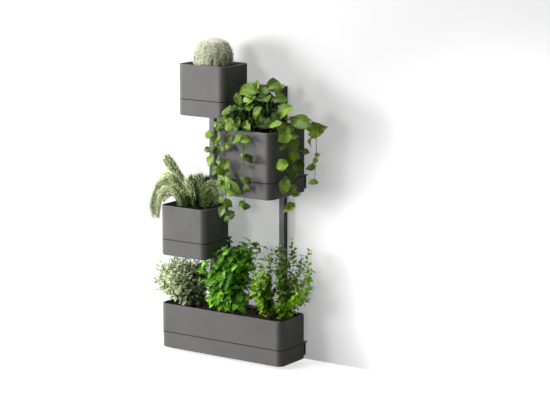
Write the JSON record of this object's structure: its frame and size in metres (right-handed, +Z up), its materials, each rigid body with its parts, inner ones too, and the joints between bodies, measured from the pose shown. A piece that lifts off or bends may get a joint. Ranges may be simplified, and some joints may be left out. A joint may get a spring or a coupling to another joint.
{
  "type": "wall planter",
  "caption": "Wall planter: a square tube frame with hook plates that carries lift-off rounded box pots, each on a water reservoir, planted with trailing and upright plants.",
  "frame": {"origin": "centre of the four wall screw holes, on the wall's face", "axes": "+X right along the wall seen from the room, +Y into the wall, +Z up"},
  "size_m": [0.7765, 0.3204, 1.2368],
  "materials": {
    "frame_metal": "matte",
    "joining_plastic": "matte",
    "pot_plastic": "matte",
    "hanger_plastic": "matte",
    "grate_plastic": "matte",
    "soil": "matte",
    "cactus": "matte",
    "pothos": "satin",
    "fern": "matte",
    "thyme": "matte",
    "basil": "satin",
    "box_herb": "satin"
  },
  "bodies": {
    "frame": {"left_upright": "frame_metal", "right_upright": "frame_metal", "cross_rail": "frame_metal", "left_corner_piece": "joining_plastic", "right_corner_piece": "joining_plastic", "end_caps": "joining_plastic", "top_hook": "frame_metal", "large_hook": "frame_metal", "middle_hook": "frame_metal", "trough_left_hook": "frame_metal", "trough_right_hook": "frame_metal"},
    "top_reservoir": {"top_reservoir": "pot_plastic", "top_hanger": "hanger_plastic"},
    "top_planter": {"top_planter": "pot_plastic", "top_soil_grate": "grate_plastic", "top_soil": "soil", "cactus": "cactus"},
    "large_reservoir": {"large_reservoir": "pot_plastic", "large_hanger": "hanger_plastic"},
    "large_planter": {"large_planter": "pot_plastic", "large_soil_grate": "grate_plastic", "large_soil": "soil", "pothos_crown": "pothos", "pothos_vines": "pothos"},
    "middle_reservoir": {"middle_reservoir": "pot_plastic", "middle_hanger": "hanger_plastic"},
    "middle_planter": {"middle_planter": "pot_plastic", "middle_soil_grate": "grate_plastic", "middle_soil": "soil", "foxtail_fern": "fern"},
    "trough_reservoir": {"trough_reservoir": "pot_plastic", "trough_hanger": "hanger_plastic"},
    "trough_planter": {"trough_planter": "pot_plastic", "trough_soil_grate": "grate_plastic", "trough_soil": "soil", "thyme": "thyme", "basil": "basil", "box_herb": "box_herb"}
  },
  "joints": [
    {"name": "top_lift_off", "type": "slide", "parent": "frame", "child": "top_reservoir", "axis": [0, 0, 1], "range_m": [0, 0.014]},
    {"name": "top_lift_out", "type": "slide", "parent": "top_reservoir", "child": "top_planter", "axis": [0, 0, 1], "range_m": [0, 0.014]},
    {"name": "large_lift_off", "type": "slide", "parent": "frame", "child": "large_reservoir", "axis": [0, 0, 1], "range_m": [0, 0.014]},
    {"name": "large_lift_out", "type": "slide", "parent": "large_reservoir", "child": "large_planter", "axis": [0, 0, 1], "range_m": [0, 0.014]},
    {"name": "middle_lift_off", "type": "slide", "parent": "frame", "child": "middle_reservoir", "axis": [0, 0, 1], "range_m": [0, 0.014]},
    {"name": "middle_lift_out", "type": "slide", "parent": "middle_reservoir", "child": "middle_planter", "axis": [0, 0, 1], "range_m": [0, 0.014]},
    {"name": "trough_lift_off", "type": "slide", "parent": "frame", "child": "trough_reservoir", "axis": [0, 0, 1], "range_m": [0, 0.014]},
    {"name": "trough_lift_out", "type": "slide", "parent": "trough_reservoir", "child": "trough_planter", "axis": [0, 0, 1], "range_m": [0, 0.014]}
  ]
}
